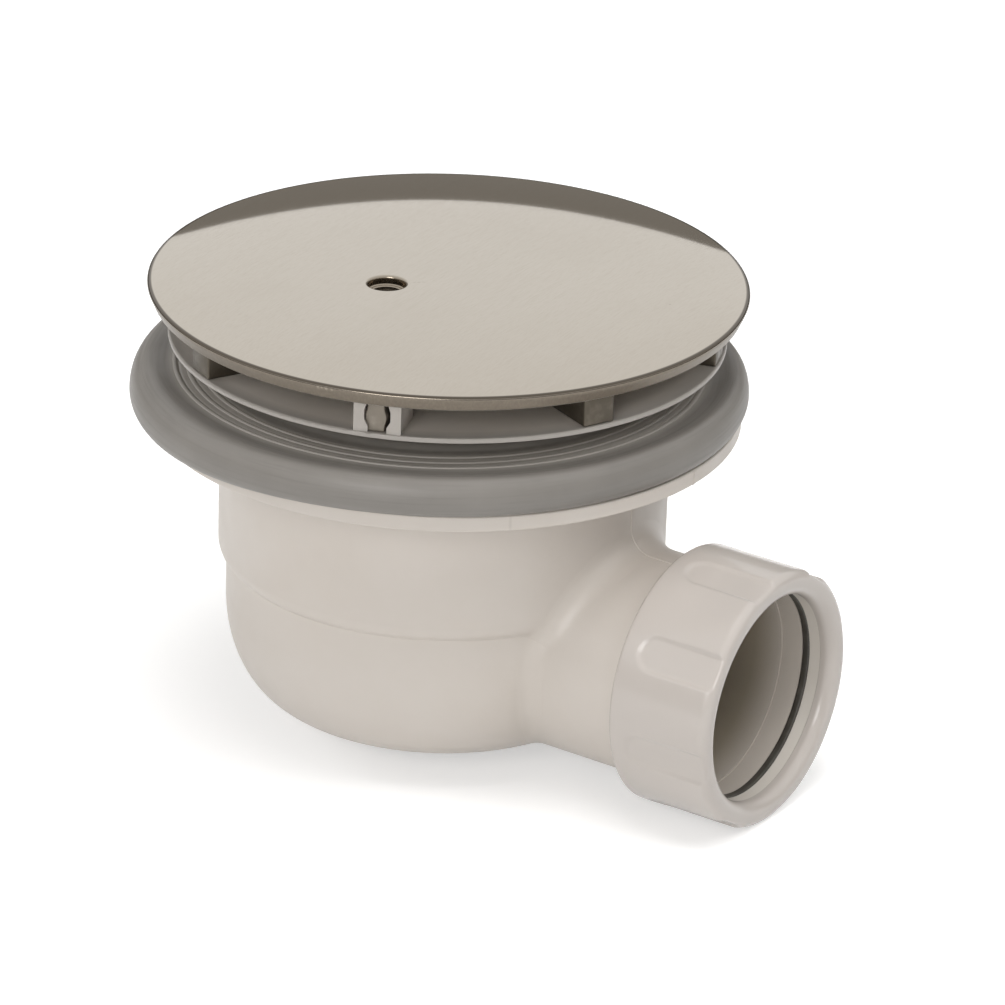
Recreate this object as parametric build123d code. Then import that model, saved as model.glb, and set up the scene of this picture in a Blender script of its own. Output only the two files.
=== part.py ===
from build123d import *
import os
from math import atan2, cos, degrees, radians, sin, tan

# Shower trap for a 90 mm tray hole, with a lift-off cover and a 40 mm compression outlet.
# Millimetres. z = 0 is the underside of the shower tray, where the gasket's ridges press.
# +Z points up through the waste and +X points out along the outlet.

# Tray hole and the stack above the tray
tray_hole_diameter = 90.0
tray_room = 4.2
plate_lap = 8.5
plate_thickness = 0.9
plate_edge_round = 0.35
inlet_height = 6.8

# Cover
cover_overhang = 4.0
cover_rim_height = 3.0
cover_rim_taper = 1.1
cover_rim_wall = 2.2
cover_crown = 2.0
cover_skin = 1.6
cover_edge_round = 0.5
lift_hole_diameter = 7.2
lift_hole_round = 0.6
lift_hole_ledge = 0.6
lift_hole_step_depth = 1.8
lift_hole_offset = 13.8
lift_boss_wall = 1.4
lift_boss_depth = 3.5

# Feet under the cover and the two clips that hold it
support_count = 8
clip_angle = -69.0
foot_width = 6.5
foot_length = 12.0
foot_edge_round = 0.4
support_setback = 0.4
post_width = 9.0
post_length = 9.0
post_headroom = 0.9
pocket_width = 5.0
pocket_mouth = 4.3
pocket_slot = 3.6
tongue_bulge = 3.8
tongue_neck = 3.0
tongue_length = 7.5
tongue_recess = 0.4
tongue_gap = 0.3

# Clamping flange below the plate
neck_margin = 3.9
skirt_clearance = 0.5
skirt_wall = 1.8
dish_depth = 9.2
dish_lip_round = 1.2
web_thickness = 1.8
collar_wall = 1.4
collar_depth = 5.0

# Flange screws
screw_count = 4
screw_diameter = 4.0
screw_length = 20.0
screw_head_diameter = 8.0
screw_head_height = 2.4
screw_recess_width = 1.1
screw_recess_length = 4.6
screw_recess_depth = 1.4
screw_head_clearance = 0.6
screw_hole_clearance = 0.3
pilot_clearance = 0.05
boss_wall = 2.3
boss_clearance = 1.0

# Tray gasket
gasket_lap = 14.5
gasket_height = 9.0
gasket_bore_margin = 2.0
gasket_bead_width = 2.8
gasket_bead_mid = 3.0
gasket_lip_gap = 0.4
ridge_count = 3
ridge_lap = 8.25
ridge_pitch = 2.6
ridge_crest = 0.9
ridge_groove = 0.5
ridge_groove_depth = 0.4
ridge_rise = 0.55
gasket_inner_drop = 1.3

# Trap body
flange_lap = 12.0
flange_thickness = 3.1
flange_edge_round = 0.4
flange_root_round = 1.0
body_wall = 2.4
step_lift = 9.6
step_depth = 1.6
step_round = 3.0
body_depth = 61.5
bowl_corner_width = 12.2
bowl_corner_height = 19.7
base_slope = 20.0
base_inset = 8.0

# Outlet
outlet_lift = 1.1
pipe_diameter = 40.0
socket_clearance = 0.2
socket_entry_step = 0.3
socket_length = 16.0
socket_entry_length = 4.5
stub_diameter = 43.0
stub_bore_diameter = 37.2
stub_fillet = 5.0
thread_diameter = 44.0
spigot_shoulder = 57.0
spigot_reach = 70.5

# Outlet seal, washer and nut
seal_thickness = 1.6
seal_bore_clearance = 0.3
washer_thickness = 2.4
washer_bore_clearance = 0.6
thread_clearance = 0.3
nut_rear = 56.2
nut_diameter = 50.6
nut_front_wall = 3.1
nut_mouth_clearance = 0.4
nut_front_round = 1.9
nut_mouth_round = 2.4
nut_rear_round = 0.5
scoop_count = 8
scoop_turn = 12.5
scoop_width = 5.2
scoop_depth = 0.65
scoop_flare = 60.0
collar_length = 3.6

# Dip tube, its sealing ring and the cup
insert_clearance = 0.3
tube_flange_overlap = 1.8
tube_flange_thickness = 1.6
tube_diameter = 32.0
tube_wall = 1.4
funnel_depth = 6.6
tube_end_gap = 8.0
ring_groove_width = 2.8
ring_groove_depth = 2.2
ring_play = 0.05
fin_count = 3
fin_thickness = 1.6
fin_height = 30.0
fin_gap = 0.3
cup_clearance = 0.9
cup_wall = 1.4
cup_overflow = 5.5
cup_corner_round = 3.0
cup_foot_height = 1.5
cup_foot_width = 2.0
cup_foot_inset = 8.0

# Levels, from the tray down and up
flange_top = -gasket_height
flange_bottom = flange_top - flange_thickness
base_z = flange_bottom - body_depth
outlet_z = base_z + outlet_lift + stub_diameter / 2
step_z = outlet_z + step_lift
floor_z = base_z + body_wall
plate_bottom = tray_room
plate_top = plate_bottom + plate_thickness
rim_bottom = plate_top + inlet_height
rim_top = rim_bottom + cover_rim_height
crown_top = rim_top + cover_crown
web_top = plate_top - dish_depth
web_bottom = web_top - web_thickness
insert_collar_bottom = web_bottom - collar_depth
cup_floor = floor_z + cup_foot_height + cup_wall
seal_front = spigot_reach + seal_thickness
washer_front = seal_front + washer_thickness
nut_front = washer_front + nut_front_wall

# Radii that several pieces share
hole_r = tray_hole_diameter / 2
gasket_r = hole_r + gasket_lap
flange_r = hole_r + flange_lap
neck_r = hole_r - neck_margin
upper_r = neck_r + body_wall
lower_r = upper_r - step_depth
corner_r = lower_r - bowl_corner_width
skirt_r = neck_r - skirt_clearance
plate_r = hole_r + plate_lap
support_r = plate_r - support_setback
cover_r = plate_r + cover_overhang
cover_edge_r = cover_r - cover_edge_round
rim_inner_r = cover_r - cover_rim_taper - cover_rim_wall
boss_r = screw_diameter / 2 + boss_wall
screw_circle_r = skirt_r - skirt_wall - screw_head_diameter / 2 - screw_head_clearance
insert_r = screw_circle_r - boss_r - boss_clearance - collar_wall
pipe_r = pipe_diameter / 2
thread_r = thread_diameter / 2
nut_r = nut_diameter / 2
ring_seat_r = insert_r - insert_clearance - ring_groove_depth
cup_r = insert_r - cup_clearance

# Directions round the waste, in degrees from the outlet
support_angles = [clip_angle + 360.0 / support_count * i for i in range(support_count)]
clip_angles = [clip_angle, clip_angle + 180.0]
foot_angles = [a for a in support_angles if a not in clip_angles]
screw_angles = [180.0 / screw_count + 360.0 / screw_count * i for i in range(screw_count)]


def turned(*lines):
    """A solid turned about Z from lines drawn as (radius, height), with its seam away from the outlet."""
    return Rotation(0, 0, 180) * revolve(Plane.XZ * make_face(Curve() + list(lines)), Axis.Z)


def turned_polygon(*points):
    return turned(Polyline(*points, close=True))


def ring(outer, inner, low, high):
    return turned_polygon((inner, low), (outer, low), (outer, high), (inner, high))


def disc(radius, low, high):
    return turned_polygon((0, low), (radius, low), (radius, high), (0, high))


def along_outlet(solid):
    """Lay a solid made about Z along the outlet, its height becoming the distance along +X."""
    return Location((0, 0, outlet_z)) * (Rotation(0, 90, 0) * solid)


def at_angle(angle, radius, solid):
    return Rotation(0, 0, angle) * (Location((radius, 0, 0)) * solid)


def radial_block(angle, inner, outer, width, low, high):
    """A block lying along a radius between two heights."""
    block = Location((0, 0, (low + high) / 2)) * Box(outer - inner, width, high - low)
    return at_angle(angle, (inner + outer) / 2, block)


def radial_prism(angle, inner, outer, half_outline):
    """A prism along a radius with a mirrored outline given as (half width, height) from the bottom up."""
    other_half = [(-half, z) for half, z in reversed(half_outline)]
    face = Plane.YZ * make_face(Polyline(*half_outline, *other_half, close=True))
    return at_angle(angle, inner, extrude(face, outer - inner))


def circles_at(solid, radius, height):
    """The round edges of a turned solid at one radius and height."""
    round_edges = solid.edges().filter_by(GeomType.CIRCLE)
    at_height = [e for e in round_edges if abs(e.center().Z - height) < 0.01]
    return [e for e in at_height if abs(e.radius - radius) < 0.01]


def bowl_corner(inset):
    """The bowl's elliptic corner, moved in by the inset, from the top of the sloping base up to the wall."""
    slope = tan(radians(base_slope))
    width = bowl_corner_width - inset
    height = bowl_corner_height - inset
    end = atan2(height, width * slope)
    slope_top = base_z + inset + (base_inset + width * cos(end)) * slope
    centre = (corner_r, slope_top + height * sin(end))
    return EllipticalCenterArc(centre, width, height, 360 - degrees(end), arc_size=degrees(end))


def base_lines(corner, bottom, top):
    """From the end of the bowl's corner down the sloping base, in to the axis and up to the top."""
    return Polyline(corner @ 0, (corner_r - base_inset, bottom), (0, bottom), (0, top))


def make_trap_body():
    corner = bowl_corner(0)
    band = Polyline((0, flange_bottom), (upper_r, flange_bottom), (upper_r, step_z + step_round))
    band_end = TangentArc(band @ 1, (lower_r, step_z), tangent=(0, -1))
    barrel = Line(band_end @ 1, corner @ 1)
    body = turned(band, band_end, barrel, corner, base_lines(corner, base_z, flange_bottom))
    body += along_outlet(disc(stub_diameter / 2, corner_r / 2, spigot_shoulder))
    outlet_side = [e for e in body.edges() if corner_r / 2 < e.center().X < spigot_shoulder - 1]
    body = fillet([e for e in outlet_side if e.geom_type == GeomType.BSPLINE], stub_fillet)
    flange = disc(flange_r, flange_bottom, flange_top)
    body += fillet(flange.edges().filter_by(GeomType.CIRCLE), flange_edge_round)
    body = fillet(circles_at(body, upper_r, flange_bottom), flange_root_round)
    body += along_outlet(disc(thread_diameter / 2, spigot_shoulder, spigot_reach))
    inner_corner = bowl_corner(body_wall)
    neck = Polyline(
        (0, flange_top),
        (neck_r, flange_top),
        (neck_r, step_z + step_round),
        (lower_r - body_wall, step_z),
        inner_corner @ 1,
    )
    body -= turned(neck, inner_corner, base_lines(inner_corner, floor_z, flange_top))
    socket_end = spigot_reach - socket_entry_length
    body -= along_outlet(disc(stub_bore_diameter / 2, corner_r / 2 + body_wall, spigot_reach))
    body -= along_outlet(disc(pipe_r + socket_clearance, socket_end - socket_length, spigot_reach))
    body -= along_outlet(disc(pipe_r + socket_clearance + socket_entry_step, socket_end, spigot_reach))
    boss_bottom = web_bottom - screw_length
    boss_root_r = neck_r + body_wall / 2
    pilot = disc(screw_diameter / 2 + pilot_clearance, boss_bottom + boss_wall / 2, web_bottom)
    for angle in screw_angles:
        body += at_angle(angle, screw_circle_r, disc(boss_r, boss_bottom, web_bottom))
        body += radial_block(angle, screw_circle_r, boss_root_r, 2 * boss_r, boss_bottom, flange_top)
        body -= at_angle(angle, screw_circle_r, pilot)
    return body


def make_tray_gasket():
    bead_r = gasket_r - gasket_bead_width
    bore_r = hole_r - gasket_bore_margin
    bead_z = gasket_bead_mid - gasket_height
    band_z = -ridge_rise
    bead_foot = gasket_bead_mid - gasket_lip_gap
    lower_bead = EllipticalCenterArc((bead_r, bead_z), gasket_bead_width, bead_foot, 270, arc_size=90)
    upper_bead = EllipticalCenterArc((bead_r, bead_z), gasket_bead_width, band_z - bead_z, 0, arc_size=90)
    lines = [lower_bead, upper_bead]
    shelf_r = bead_r
    for i in range(ridge_count):
        outer = hole_r + ridge_lap - ridge_pitch * i
        inner = outer - ridge_crest
        lines.append(Line((shelf_r, band_z), (outer, band_z)))
        lines.append(ThreePointArc((outer, band_z), (outer - ridge_crest / 2, 0), (inner, band_z)))
        shelf_r = inner - ridge_groove
        groove_z = band_z - ridge_groove_depth
        lines.append(Polyline((inner, band_z), (inner, groove_z), (shelf_r, groove_z), (shelf_r, band_z)))
    inner_edge = Polyline(
        (shelf_r, band_z),
        (shelf_r, -gasket_inner_drop),
        (bore_r, -gasket_inner_drop),
        (bore_r, -gasket_height),
        (bead_r - gasket_lip_gap, -gasket_height),
        lower_bead @ 0,
    )
    return turned(*lines, inner_edge)


def clip_heights(*shares):
    """Heights up a clip post, as shares of the gap between the plate and the cover's rim."""
    return [plate_top + inlet_height * share for share in shares]


def make_clamping_flange():
    plate = ring(plate_r, skirt_r - skirt_wall, plate_bottom, plate_top)
    plate = fillet(circles_at(plate, plate_r, plate_top), plate_edge_round)
    flange = plate + ring(skirt_r, skirt_r - skirt_wall, web_bottom, plate_top)
    flange = fillet(circles_at(flange, skirt_r - skirt_wall, plate_top), dish_lip_round)
    flange += ring(skirt_r, insert_r, web_bottom, web_top)
    flange += ring(insert_r + collar_wall, insert_r, insert_collar_bottom, web_top)
    for angle in screw_angles:
        hole = disc(screw_diameter / 2 + screw_hole_clearance, web_bottom, web_top)
        flange -= at_angle(angle, screw_circle_r, hole)
    post_top = rim_bottom + post_headroom
    slot_top, wide_low, wide_high, mouth_low = clip_heights(0.17, 0.35, 0.63, 0.79)
    pocket = [
        (pocket_slot / 2, plate_top),
        (pocket_slot / 2, slot_top),
        (pocket_width / 2, wide_low),
        (pocket_width / 2, wide_high),
        (pocket_mouth / 2, mouth_low),
        (pocket_mouth / 2, post_top),
    ]
    for angle in clip_angles:
        post = radial_block(angle, support_r - post_length, support_r, post_width, plate_top, post_top)
        flange += post - radial_prism(angle, support_r - post_length, support_r, pocket)
    return flange


def make_cover():
    lower_edge_r = cover_r - cover_rim_taper
    top = TangentArc((0, crown_top), (cover_edge_r, rim_top), tangent=(1, 0))
    edge = CenterArc((cover_edge_r, rim_top - cover_edge_round), cover_edge_round, 0, 90)
    hollow_top = crown_top - cover_skin
    hollow_edge = hollow_top - cover_crown * (rim_inner_r / cover_edge_r) ** 2
    underside = TangentArc((0, hollow_top), (rim_inner_r, hollow_edge), tangent=(1, 0))
    rim = Polyline(edge @ 0, (lower_edge_r, rim_bottom), (rim_inner_r, rim_bottom), underside @ 1)
    cover = turned(top, edge, rim, underside, Line((0, hollow_top), (0, crown_top)))
    support_mid_r = support_r - foot_length / 2
    support_top = crown_top - cover_skin / 2 - cover_crown * (support_mid_r / cover_edge_r) ** 2
    for angle in foot_angles:
        foot = radial_block(angle, support_r - foot_length, support_r, foot_width, plate_top, support_top)
        cover += fillet(foot.edges().filter_by(Axis.Z), foot_edge_round)
    waist_low, bulge_low, bulge_high, waist_high = clip_heights(0.14, 0.32, 0.49, 0.63)
    tongue = [
        (tongue_neck / 2, plate_top + tongue_gap),
        (tongue_neck / 2, waist_low),
        (tongue_bulge / 2, bulge_low),
        (tongue_bulge / 2, bulge_high),
        (tongue_neck / 2, waist_high),
        (tongue_neck / 2, support_top),
    ]
    tongue_r = support_r - tongue_recess
    for angle in clip_angles:
        cover += radial_prism(angle, tongue_r - tongue_length, tongue_r, tongue)
    lift_r = lift_hole_diameter / 2
    hole_angle = support_angles[-1]
    hole_top = crown_top - cover_crown * (lift_hole_offset / cover_edge_r) ** 2
    ledge_z = hole_top - lift_hole_step_depth
    boss_bottom = hole_top - cover_skin - lift_boss_depth
    boss = disc(lift_r + lift_boss_wall, boss_bottom, hole_top - cover_skin / 2)
    cover += at_angle(hole_angle, lift_hole_offset, boss)
    cover -= at_angle(hole_angle, lift_hole_offset, disc(lift_r, ledge_z, crown_top))
    cover -= at_angle(hole_angle, lift_hole_offset, disc(lift_r - lift_hole_ledge, boss_bottom, crown_top))
    mouth = cover.edges().filter_by(GeomType.BSPLINE).sort_by(Axis.Z)[-1]
    return fillet(mouth, lift_hole_round)


def make_flange_screws():
    head_top = web_top + screw_head_height
    head = disc(screw_head_diameter / 2, web_top, head_top)
    screw = fillet(circles_at(head, screw_head_diameter / 2, head_top), screw_head_height / 2)
    screw += disc(screw_diameter / 2, web_bottom - screw_length + boss_wall, web_top)
    recess = Location((0, 0, head_top - screw_recess_depth / 2))
    screw -= recess * Box(screw_recess_length, screw_recess_width, screw_recess_depth)
    screw -= recess * Box(screw_recess_width, screw_recess_length, screw_recess_depth)
    return Compound(children=[at_angle(angle, screw_circle_r, screw) for angle in screw_angles])


def make_dip_tube():
    neck = insert_r - insert_clearance
    groove_mid = (web_top + insert_collar_bottom) / 2
    tube_r = tube_diameter / 2
    tube_end = cup_floor + tube_end_gap
    lip_r = insert_r + tube_flange_overlap
    top = web_top + tube_flange_thickness
    tube = turned_polygon(
        (tube_r - tube_wall, tube_end),
        (tube_r, tube_end),
        (tube_r, insert_collar_bottom - funnel_depth),
        (ring_seat_r, insert_collar_bottom),
        (neck, insert_collar_bottom),
        (neck, groove_mid - ring_groove_width / 2),
        (ring_seat_r, groove_mid - ring_groove_width / 2),
        (ring_seat_r, groove_mid + ring_groove_width / 2),
        (neck, groove_mid + ring_groove_width / 2),
        (neck, web_top),
        (lip_r, web_top),
        (lip_r, top),
        (ring_seat_r - tube_wall, top),
        (ring_seat_r - tube_wall, insert_collar_bottom + tube_wall / 2),
        (tube_r - tube_wall, insert_collar_bottom + tube_wall / 2 - funnel_depth),
    )
    fin_outer = cup_r - cup_wall - fin_gap
    fin_inner = tube_r - tube_wall / 2
    for i in range(fin_count):
        angle = 360.0 / fin_count * i
        tube += radial_block(angle, fin_inner, fin_outer, fin_thickness, tube_end, tube_end + fin_height)
    return tube


def make_dip_tube_seal():
    thickness = insert_r - ring_seat_r - 2 * ring_play
    centre = ((insert_r + ring_seat_r) / 2, (web_top + insert_collar_bottom) / 2)
    return revolve(Plane.XZ * (Location(centre) * Circle(thickness / 2)), Axis.Z)


def make_trap_cup():
    under = cup_floor - cup_wall
    rim = insert_collar_bottom - cup_overflow
    cup = disc(cup_r, under, rim)
    cup = fillet(circles_at(cup, cup_r, under), cup_corner_round)
    hollow = disc(cup_r - cup_wall, cup_floor, rim)
    cup -= fillet(circles_at(hollow, cup_r - cup_wall, cup_floor), cup_corner_round - cup_wall)
    foot_r = cup_r - cup_foot_inset
    return cup + ring(foot_r, foot_r - cup_foot_width, floor_z, under)


def make_outlet_seal():
    return along_outlet(ring(thread_r, pipe_r + seal_bore_clearance, spigot_reach, seal_front))


def make_thrust_washer():
    return along_outlet(ring(thread_r, pipe_r + washer_bore_clearance, seal_front, washer_front))


def make_outlet_nut():
    mouth_r = pipe_r + nut_mouth_clearance
    nut = disc(nut_r, nut_rear, nut_front)
    nut = fillet(circles_at(nut, nut_r, nut_front), nut_front_round)
    nut = fillet(circles_at(nut, nut_r, nut_rear), nut_rear_round)
    floor_r = nut_r - scoop_depth
    scoop_rear = nut_rear + collar_length + scoop_width / 2
    scoop_length = nut_front - scoop_rear
    plan = Location((0, scoop_length / 2)) * Rectangle(scoop_width, scoop_length) + Circle(scoop_width / 2)
    plane = Plane(origin=(floor_r - scoop_depth / 2, 0, scoop_rear), x_dir=(0, 1, 0), z_dir=(1, 0, 0))
    scoop = extrude(plane * plan, 2 * scoop_depth, taper=-scoop_flare) - disc(floor_r, nut_rear, nut_front)
    for i in range(scoop_count):
        nut -= Rotation(0, 0, scoop_turn + 360.0 / scoop_count * i) * scoop
    nut -= disc(mouth_r, nut_rear, nut_front)
    nut = fillet(circles_at(nut, mouth_r, nut_front), nut_mouth_round)
    nut -= disc(thread_r + thread_clearance, nut_rear, washer_front)
    return along_outlet(nut)


os.makedirs("parts", exist_ok=True)
export_step(make_trap_body(), "parts/trap_body.step")
export_step(make_clamping_flange(), "parts/clamping_flange.step")
export_step(make_flange_screws(), "parts/flange_screws.step")
export_step(make_tray_gasket(), "parts/tray_gasket.step")
export_step(make_cover(), "parts/cover.step")
export_step(make_dip_tube(), "parts/dip_tube.step")
export_step(make_dip_tube_seal(), "parts/dip_tube_seal.step")
export_step(make_trap_cup(), "parts/trap_cup.step")
export_step(make_outlet_nut(), "parts/outlet_nut.step")
export_step(make_thrust_washer(), "parts/thrust_washer.step")
export_step(make_outlet_seal(), "parts/outlet_seal.step")
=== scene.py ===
import math
import bmesh
import bpy
from mathutils import Matrix, Vector


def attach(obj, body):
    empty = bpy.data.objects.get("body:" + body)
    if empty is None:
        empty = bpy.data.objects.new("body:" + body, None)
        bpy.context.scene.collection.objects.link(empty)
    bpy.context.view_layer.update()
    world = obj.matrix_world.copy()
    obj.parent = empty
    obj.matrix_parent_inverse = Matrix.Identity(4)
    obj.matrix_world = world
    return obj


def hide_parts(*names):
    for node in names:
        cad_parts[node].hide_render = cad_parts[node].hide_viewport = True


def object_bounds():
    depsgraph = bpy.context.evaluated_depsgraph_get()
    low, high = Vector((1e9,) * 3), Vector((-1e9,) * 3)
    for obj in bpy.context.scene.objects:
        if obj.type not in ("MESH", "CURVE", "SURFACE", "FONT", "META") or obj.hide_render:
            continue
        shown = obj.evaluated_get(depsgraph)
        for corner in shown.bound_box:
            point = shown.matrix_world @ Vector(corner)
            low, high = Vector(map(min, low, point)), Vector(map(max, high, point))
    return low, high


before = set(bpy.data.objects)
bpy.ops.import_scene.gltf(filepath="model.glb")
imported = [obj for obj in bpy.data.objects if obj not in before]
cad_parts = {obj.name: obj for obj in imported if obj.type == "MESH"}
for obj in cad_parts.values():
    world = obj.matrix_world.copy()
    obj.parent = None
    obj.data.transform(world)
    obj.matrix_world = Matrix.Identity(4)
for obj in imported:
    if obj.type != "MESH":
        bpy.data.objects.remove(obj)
cad_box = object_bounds()
scene = bpy.context.scene
scene.view_settings.view_transform = "Standard"

# TRAP BODY
# The moulded pot with its flange, stepped barrel, round bowl and side outlet, one injection
# moulding in off-white plastic with a satin skin. The CAD node is kept and gets this finish.
body_white = (0.592, 0.548, 0.504)
body_warm = (0.535, 0.480, 0.420)
# Painted shade inside the outlet's bore: a darker brownish tone on its walls.
outlet_painted_shade = (0.400, 0.355, 0.285)
outlet_axis_z = -0.0510
outlet_wall = (0.0206, 0.0209)
outlet_begins_x = (0.0310, 0.0340)
outlet_fades_x = (0.0600, 0.0660)
shade_at_mouth = 0.15
scuff_grey = (0.300, 0.270, 0.235)
scuff_place = (0.0418, -0.0387, -0.0106)
scuff_squeeze = 0.15
scuff_width = (0.0001, 0.0004)
scuff_share = 0.22


def link_nodes(tree, *pairs):
    """Join outputs to inputs, every output and input given as (node, socket)."""
    for (source, out), (target, into) in pairs:
        tree.links.new(source.outputs[out], target.inputs[into])


def fill(tree, socket, value):
    """Give a socket a plain value, or join it to an output given as (node, socket)."""
    if isinstance(value, tuple) and hasattr(value[0], "outputs"):
        tree.links.new(value[0].outputs[value[1]], socket)
    else:
        socket.default_value = value


def worked_out(tree, operation, *values):
    """The output of a Math node, or of a Vector Math node for a length or a distance."""
    kind = "VectorMath" if operation in ("LENGTH", "DISTANCE") else "Math"
    node = tree.nodes.new("ShaderNode" + kind)
    node.operation = operation
    for socket, value in zip(node.inputs, values):
        fill(tree, socket, value)
    return node, "Value"


def mapped(tree, vector, socket, value):
    """A vector moved, turned or scaled by a Mapping node's Location, Rotation or Scale."""
    mapping = tree.nodes.new("ShaderNodeMapping")
    mapping.inputs[socket].default_value = value
    link_nodes(tree, (vector, (mapping, "Vector")))
    return mapping, "Vector"


def one_axis(tree, vector, axis):
    """A vector's X, Y or Z."""
    split = tree.nodes.new("ShaderNodeSeparateXYZ")
    link_nodes(tree, (vector, (split, "Vector")))
    return split, axis


def noise_at(tree, vector, scale, detail=4.0, roughness=0.55):
    """A noise texture's value at a vector."""
    noise = tree.nodes.new("ShaderNodeTexNoise")
    noise.inputs["Scale"].default_value = scale
    noise.inputs["Detail"].default_value = detail
    noise.inputs["Roughness"].default_value = roughness
    link_nodes(tree, (vector, (noise, "Vector")))
    return noise, "Fac"


def span(tree, value, given, wanted):
    """Carry a value from one (low, high) range to another, held at both ends."""
    ranged = tree.nodes.new("ShaderNodeMapRange")
    for socket, end in zip(("From Min", "From Max", "To Min", "To Max"), (*given, *wanted)):
        ranged.inputs[socket].default_value = end
    link_nodes(tree, (value, (ranged, "Value")))
    return ranged, "Result"


def tint(tree, share, under, over):
    """Mix two colours by a share. A colour is three numbers or an output as (node, socket)."""
    mix = tree.nodes.new("ShaderNodeMix")
    mix.data_type = "RGBA"
    link_nodes(tree, (share, (mix, "Factor")))
    for colour, socket in ((under, mix.inputs[6]), (over, mix.inputs[7])):
        fill(tree, socket, (*colour, 1.0) if len(colour) == 3 else colour)
    return mix, 2


def toned(colour, factor):
    """A colour made lighter or darker by a factor."""
    return tuple(channel * factor for channel in colour)


def bumped(tree, shader, height, strength, depth):
    """Raise the surface by a height output, as deep as the depth in metres."""
    bump = tree.nodes.new("ShaderNodeBump")
    bump.inputs["Strength"].default_value = strength
    bump.inputs["Distance"].default_value = depth
    link_nodes(tree, (height, (bump, "Height")), ((bump, "Normal"), (shader, "Normal")))


def bare_finish(name):
    """An empty material and its node tree."""
    finish = bpy.data.materials.new(name)
    finish.use_nodes = True
    finish.node_tree.nodes.clear()
    return finish, finish.node_tree


def start_finish(name):
    """A material with its shader and output, and the place on the piece in metres."""
    finish, tree = bare_finish(name)
    shader = tree.nodes.new("ShaderNodeBsdfPrincipled")
    output = tree.nodes.new("ShaderNodeOutputMaterial")
    place = tree.nodes.new("ShaderNodeTexCoord")
    link_nodes(tree, ((shader, "BSDF"), (output, "Surface")))
    return finish, tree, shader, (place, "Object")


def moulded_plastic(name, colour, shade, bright, dull, specks, marks=()):
    """Moulded plastic: cloudy tone, a fine mould grain, uneven gloss and a few dark specks.

    Bright and dull are its least and greatest roughness, and specks the share of flecks that
    show. Marks are (share, colour) pairs, the share a function of the tree and the place.
    """
    finish, tree, shader, here = start_finish(name)
    cloud = noise_at(tree, here, scale=38.0)
    grain = noise_at(tree, here, scale=1900.0, detail=2.0)
    smear = noise_at(tree, here, scale=150.0, detail=5.0)
    tone = tint(tree, span(tree, cloud, (0.35, 0.75), (0.0, 0.35)), colour, shade)
    fleck = tree.nodes.new("ShaderNodeTexVoronoi")
    fleck.inputs["Scale"].default_value = 95.0
    rare = tree.nodes.new("ShaderNodeSeparateColor")
    link_nodes(tree, (here, (fleck, "Vector")), ((fleck, "Color"), (rare, "Color")))
    spot = span(tree, (fleck, "Distance"), (0.018, 0.034), (1.0, 0.0))
    chosen = span(tree, (rare, "Red"), (1.0 - specks, 1.0 - specks + 0.01), (0.0, 0.75))
    tone = tint(tree, worked_out(tree, "MULTIPLY", spot, chosen), tone, toned(shade, 0.30))
    for share, mark_colour in marks:
        tone = tint(tree, share(tree, here), tone, mark_colour)
    rough = span(tree, smear, (0.3, 0.7), (bright, dull))
    link_nodes(tree, (tone, (shader, "Base Color")), (rough, (shader, "Roughness")))
    bumped(tree, shader, grain, strength=0.10, depth=0.00004)
    return finish


def dress(node, finish):
    """Give a kept CAD node its finish in every slot."""
    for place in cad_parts[node].material_slots:
        place.material = finish


def shade_inside_outlet(tree, here):
    """1 on the walls inside the outlet, where shade is painted in a darker brownish tone, less at
    its mouth.
    """
    across = mapped(tree, here, "Scale", (0.0, 1.0, 1.0))
    along = one_axis(tree, here, "X")
    away = worked_out(tree, "DISTANCE", across, (0.0, 0.0, outlet_axis_z))
    share = span(tree, away, outlet_wall, (1.0, 0.0))
    begins = span(tree, along, outlet_begins_x, (0.0, 1.0))
    fades = span(tree, along, outlet_fades_x, (1.0, shade_at_mouth))
    share = worked_out(tree, "MULTIPLY", share, begins)
    return worked_out(tree, "MULTIPLY", share, fades)


def flange_scuff(tree, here):
    """A faint upright mark on the flange's edge, near the front."""
    squeezed = mapped(tree, here, "Scale", (1.0, 1.0, scuff_squeeze))
    x, y, z = scuff_place
    away = worked_out(tree, "DISTANCE", squeezed, (x, y, scuff_squeeze * z))
    return span(tree, away, scuff_width, (scuff_share, 0.0))


body_plastic = moulded_plastic(
    "satin_white_body",
    body_white,
    body_warm,
    bright=0.36,
    dull=0.46,
    specks=0.16,
    # The first mark is painted shade inside the outlet, the second a scuff on the flange's edge.
    marks=((shade_inside_outlet, outlet_painted_shade), (flange_scuff, scuff_grey)),
)
dress("trap_body", body_plastic)

# MOULD LINE
# The thin flash ridge where the halves of the body's mould met, in the plane through the outlet.
# It runs down the flange edge and the barrel, round the corner and out along the outlet's top.
flash_height = 0.00013
flash_sides = 8
flange_edge_x = 0.0570
flange_top_z = -0.0090
flange_foot_z = -0.0121
barrel_x = 0.0435
line_turn = 0.0003
line_ease = 0.001
corner_start_z = -0.0245
corner_radius = 0.005
corner_steps = 12
outlet_top_z = -0.0295
outlet_end_x = 0.0565
back_end_z = -0.0405


def put_in_scene(name, data):
    """A new object of a mesh, lamp or camera, linked to the scene."""
    held = bpy.data.objects.new(name, data)
    scene.collection.objects.link(held)
    return held


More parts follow.
